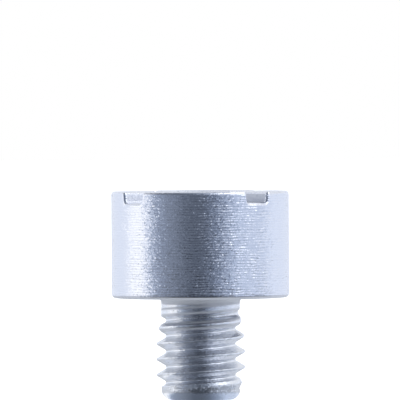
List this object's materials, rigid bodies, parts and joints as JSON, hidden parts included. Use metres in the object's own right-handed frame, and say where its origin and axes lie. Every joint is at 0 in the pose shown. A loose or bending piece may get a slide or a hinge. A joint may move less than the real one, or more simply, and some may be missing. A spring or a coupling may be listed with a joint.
{
  "type": "slotted cylinder-head machine screw with a countersunk centre hole",
  "caption": "Tall cylinder-head metric screw with radial driver slots and a countersunk blind hole in its face, plain neck and short rolled thread.",
  "frame": {"origin": "on the screw's axis, in the plane of the head's bearing face", "axes": "+Z along the axis, out of the head's face; the thread hangs below; +X and +Y are clocked so that the first driver slot lies 40.5 degrees from +X"},
  "size_m": [0.008, 0.008, 0.0094],
  "materials": {
    "zinc_plated_steel": "satin, zinc-plated, tumbled, with fine turning lines round the head"
  },
  "bodies": {
    "root": {"screw": "zinc_plated_steel"}
  },
  "joints": []
}
